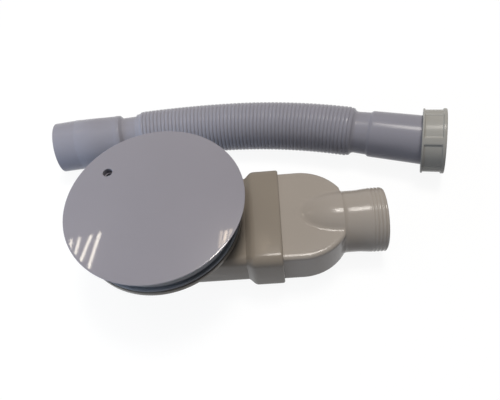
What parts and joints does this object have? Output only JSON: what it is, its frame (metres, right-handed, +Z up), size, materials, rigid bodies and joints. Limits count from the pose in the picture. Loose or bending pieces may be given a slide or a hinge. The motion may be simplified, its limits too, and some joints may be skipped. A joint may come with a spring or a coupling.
{
  "type": "shower tray trap",
  "caption": "Low shower tray trap: round dome cover over a lift-out dip cup, flat outlet box with threaded spigot, and a corrugated waste pipe with coupling nut.",
  "frame": {"origin": "centre of the pot's flat foot, on the surface the trap stands on and under the middle of the cover", "axes": "+X along the outlet towards its threaded spigot, +Y towards the flexible pipe that lies behind, +Z up through the cover"},
  "size_m": [0.2957, 0.1704, 0.0652],
  "materials": {
    "warm_grey_plastic": "moulded, glossy",
    "lilac_grey_plastic": "moulded, glossy",
    "grey_plastic": "moulded, satin",
    "black_rubber": "matt",
    "stainless_steel": "plain",
    "brass": "turned"
  },
  "bodies": {
    "trap": {"trap_body": "warm_grey_plastic", "outlet_adaptor": "warm_grey_plastic", "lower_gasket": "black_rubber", "upper_gasket": "black_rubber", "upper_flange": "grey_plastic", "brass_insert_1": "brass", "brass_insert_2": "brass", "brass_insert_3": "brass", "brass_insert_4": "brass", "flange_screw_1": "stainless_steel", "flange_screw_2": "stainless_steel", "flange_screw_3": "stainless_steel", "flange_screw_4": "stainless_steel", "flexible_pipe": "lilac_grey_plastic", "coupling_washer": "black_rubber"},
    "cup": {"dip_cup": "grey_plastic", "cup_seal": "black_rubber", "hair_strainer": "grey_plastic"},
    "cover": {"cover": "lilac_grey_plastic"},
    "nut": {"coupling_nut": "warm_grey_plastic"}
  },
  "joints": [
    {"name": "cup_lift", "type": "slide", "parent": "trap", "child": "cup", "axis": [0, 0, 1], "range_m": [0, 0.045]},
    {"name": "cover_lift", "type": "slide", "parent": "cup", "child": "cover", "axis": [0, 0, 1], "range_m": [0, 0.012]},
    {"name": "nut_spin", "type": "hinge", "parent": "trap", "child": "nut", "pos_m": [0.18628, 0.06127, 0.02375], "axis": [0.9622, -0.2381, 0.1323], "continuous": true}
  ]
}
